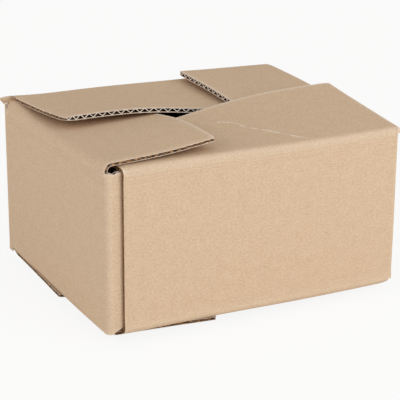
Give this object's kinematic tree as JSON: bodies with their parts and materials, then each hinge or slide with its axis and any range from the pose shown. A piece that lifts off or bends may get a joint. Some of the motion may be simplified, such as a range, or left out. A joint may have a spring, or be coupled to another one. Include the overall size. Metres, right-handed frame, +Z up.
{
  "type": "closed corrugated cardboard carton",
  "caption": "Small closed shipping carton of brown corrugated board, folded from one slotted blank with a glued corner joint; its flaps interlock at top and bottom.",
  "frame": {"origin": "middle of the floor area, on the surface that the carton stands on", "axes": "+Z up; X along the long panels; -Y out of the long panel with the glued joint, whose raw edge is near the -X end"},
  "size_m": [0.2462, 0.195, 0.143],
  "materials": {
    "kraft_board": "matt unbleached kraft liner"
  },
  "bodies": {
    "root": {"carton": "kraft_board"}
  },
  "joints": []
}
